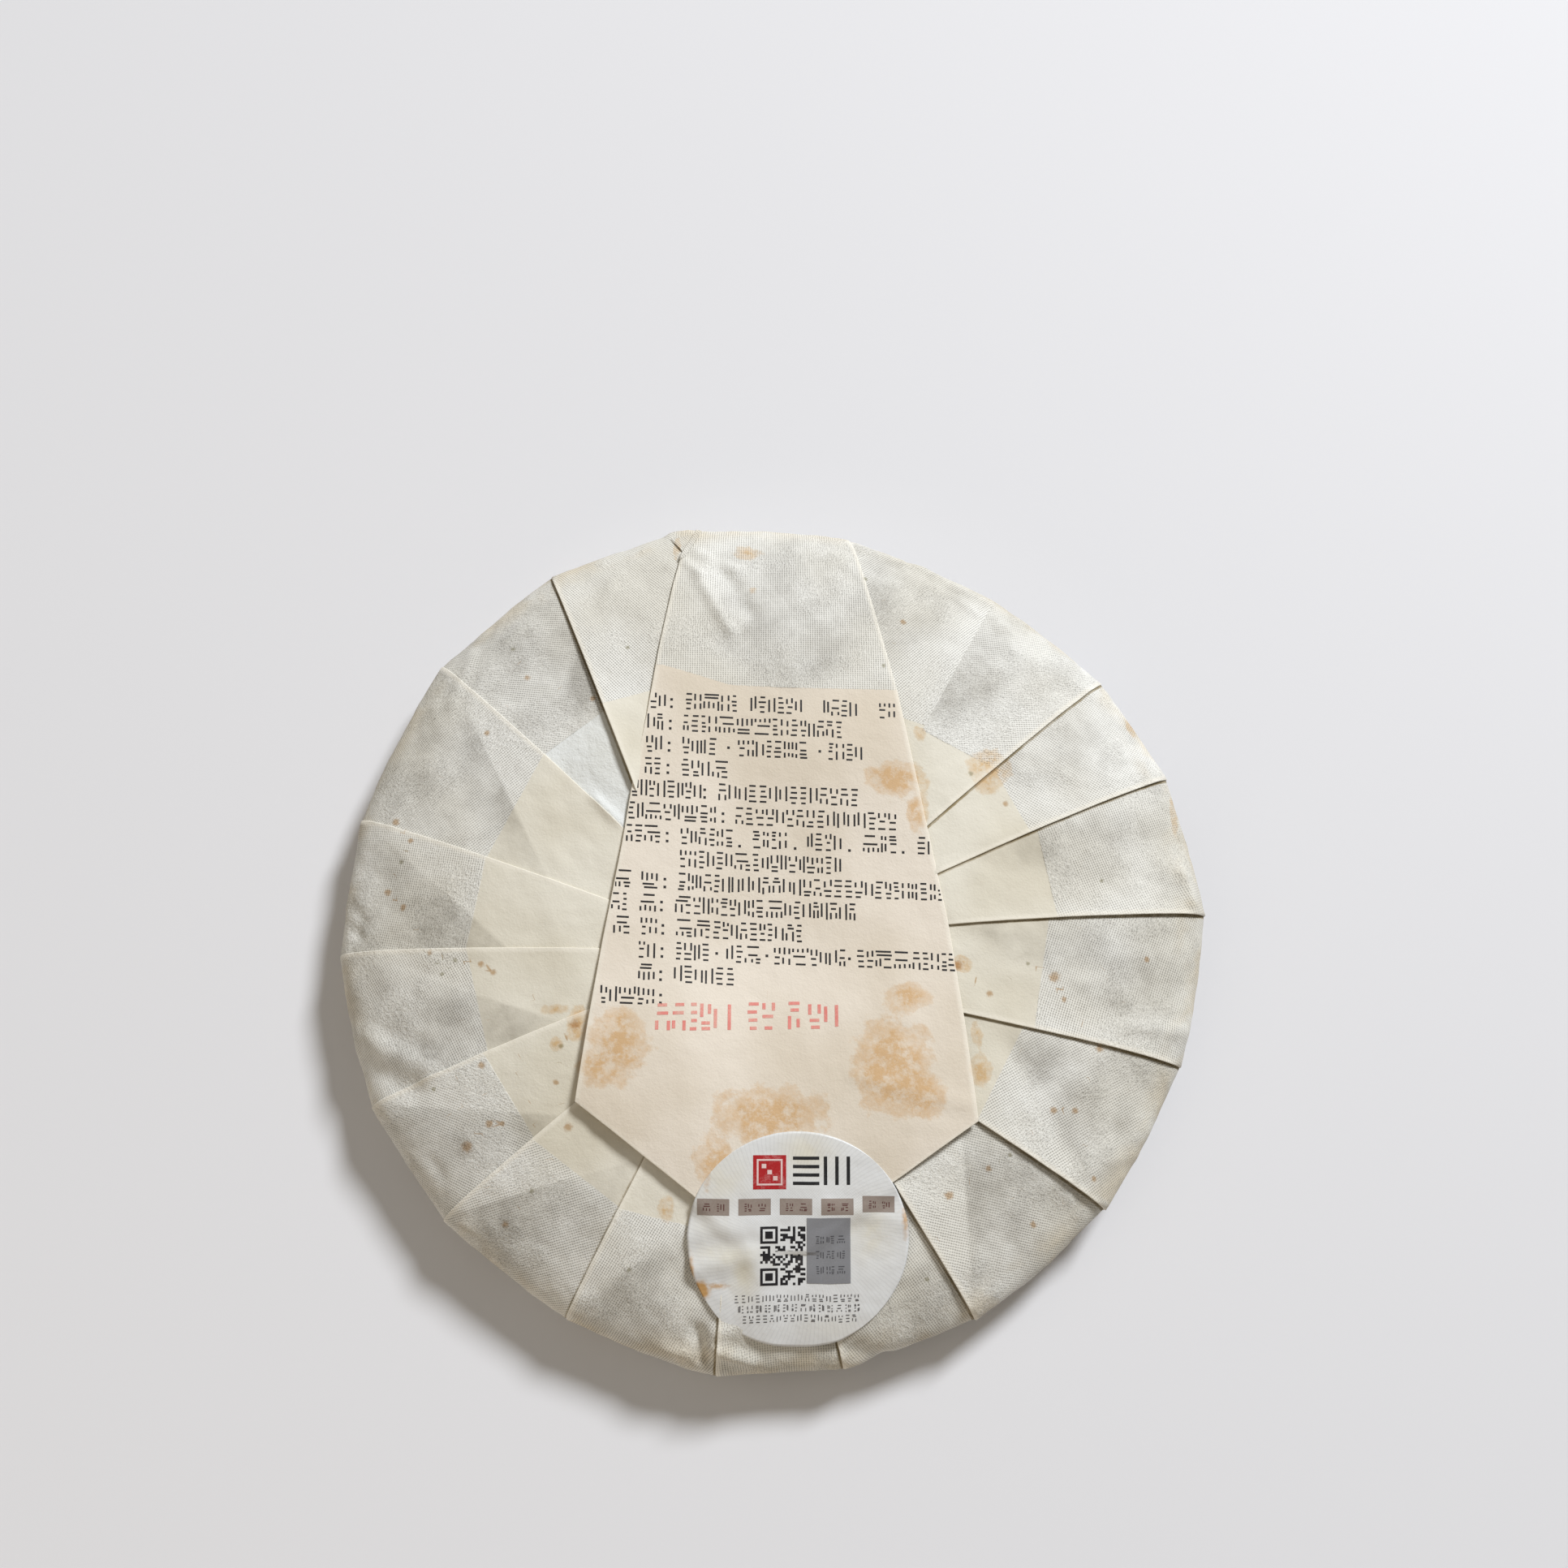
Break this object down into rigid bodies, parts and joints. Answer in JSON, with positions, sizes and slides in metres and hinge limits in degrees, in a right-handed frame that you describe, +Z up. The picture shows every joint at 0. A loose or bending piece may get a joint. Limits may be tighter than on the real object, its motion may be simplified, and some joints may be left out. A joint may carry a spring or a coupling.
{
  "type": "paper-wrapped pu erh tea cake",
  "caption": "Round cake of pressed tea in a thin paper wrapper, pleated over its back, closed by a broad flap and a round paper label.",
  "frame": {"origin": "the middle of the flat spot under the cake, on the surface that it lies on", "axes": "+Z up through the pleated back, +Y towards the rim where the closing flap comes over, +X to the right of it"},
  "size_m": [0.2046, 0.2021, 0.0263],
  "materials": {
    "wrapper_paper": "matte thin cotton paper, printed with a fine pale weave outside, smooth cream inside, with brown tea stains",
    "label_paper": "coated white paper with a soft gloss"
  },
  "bodies": {
    "root": {"paper_wrapped_cake": "wrapper_paper", "round_label": "label_paper"}
  },
  "joints": []
}
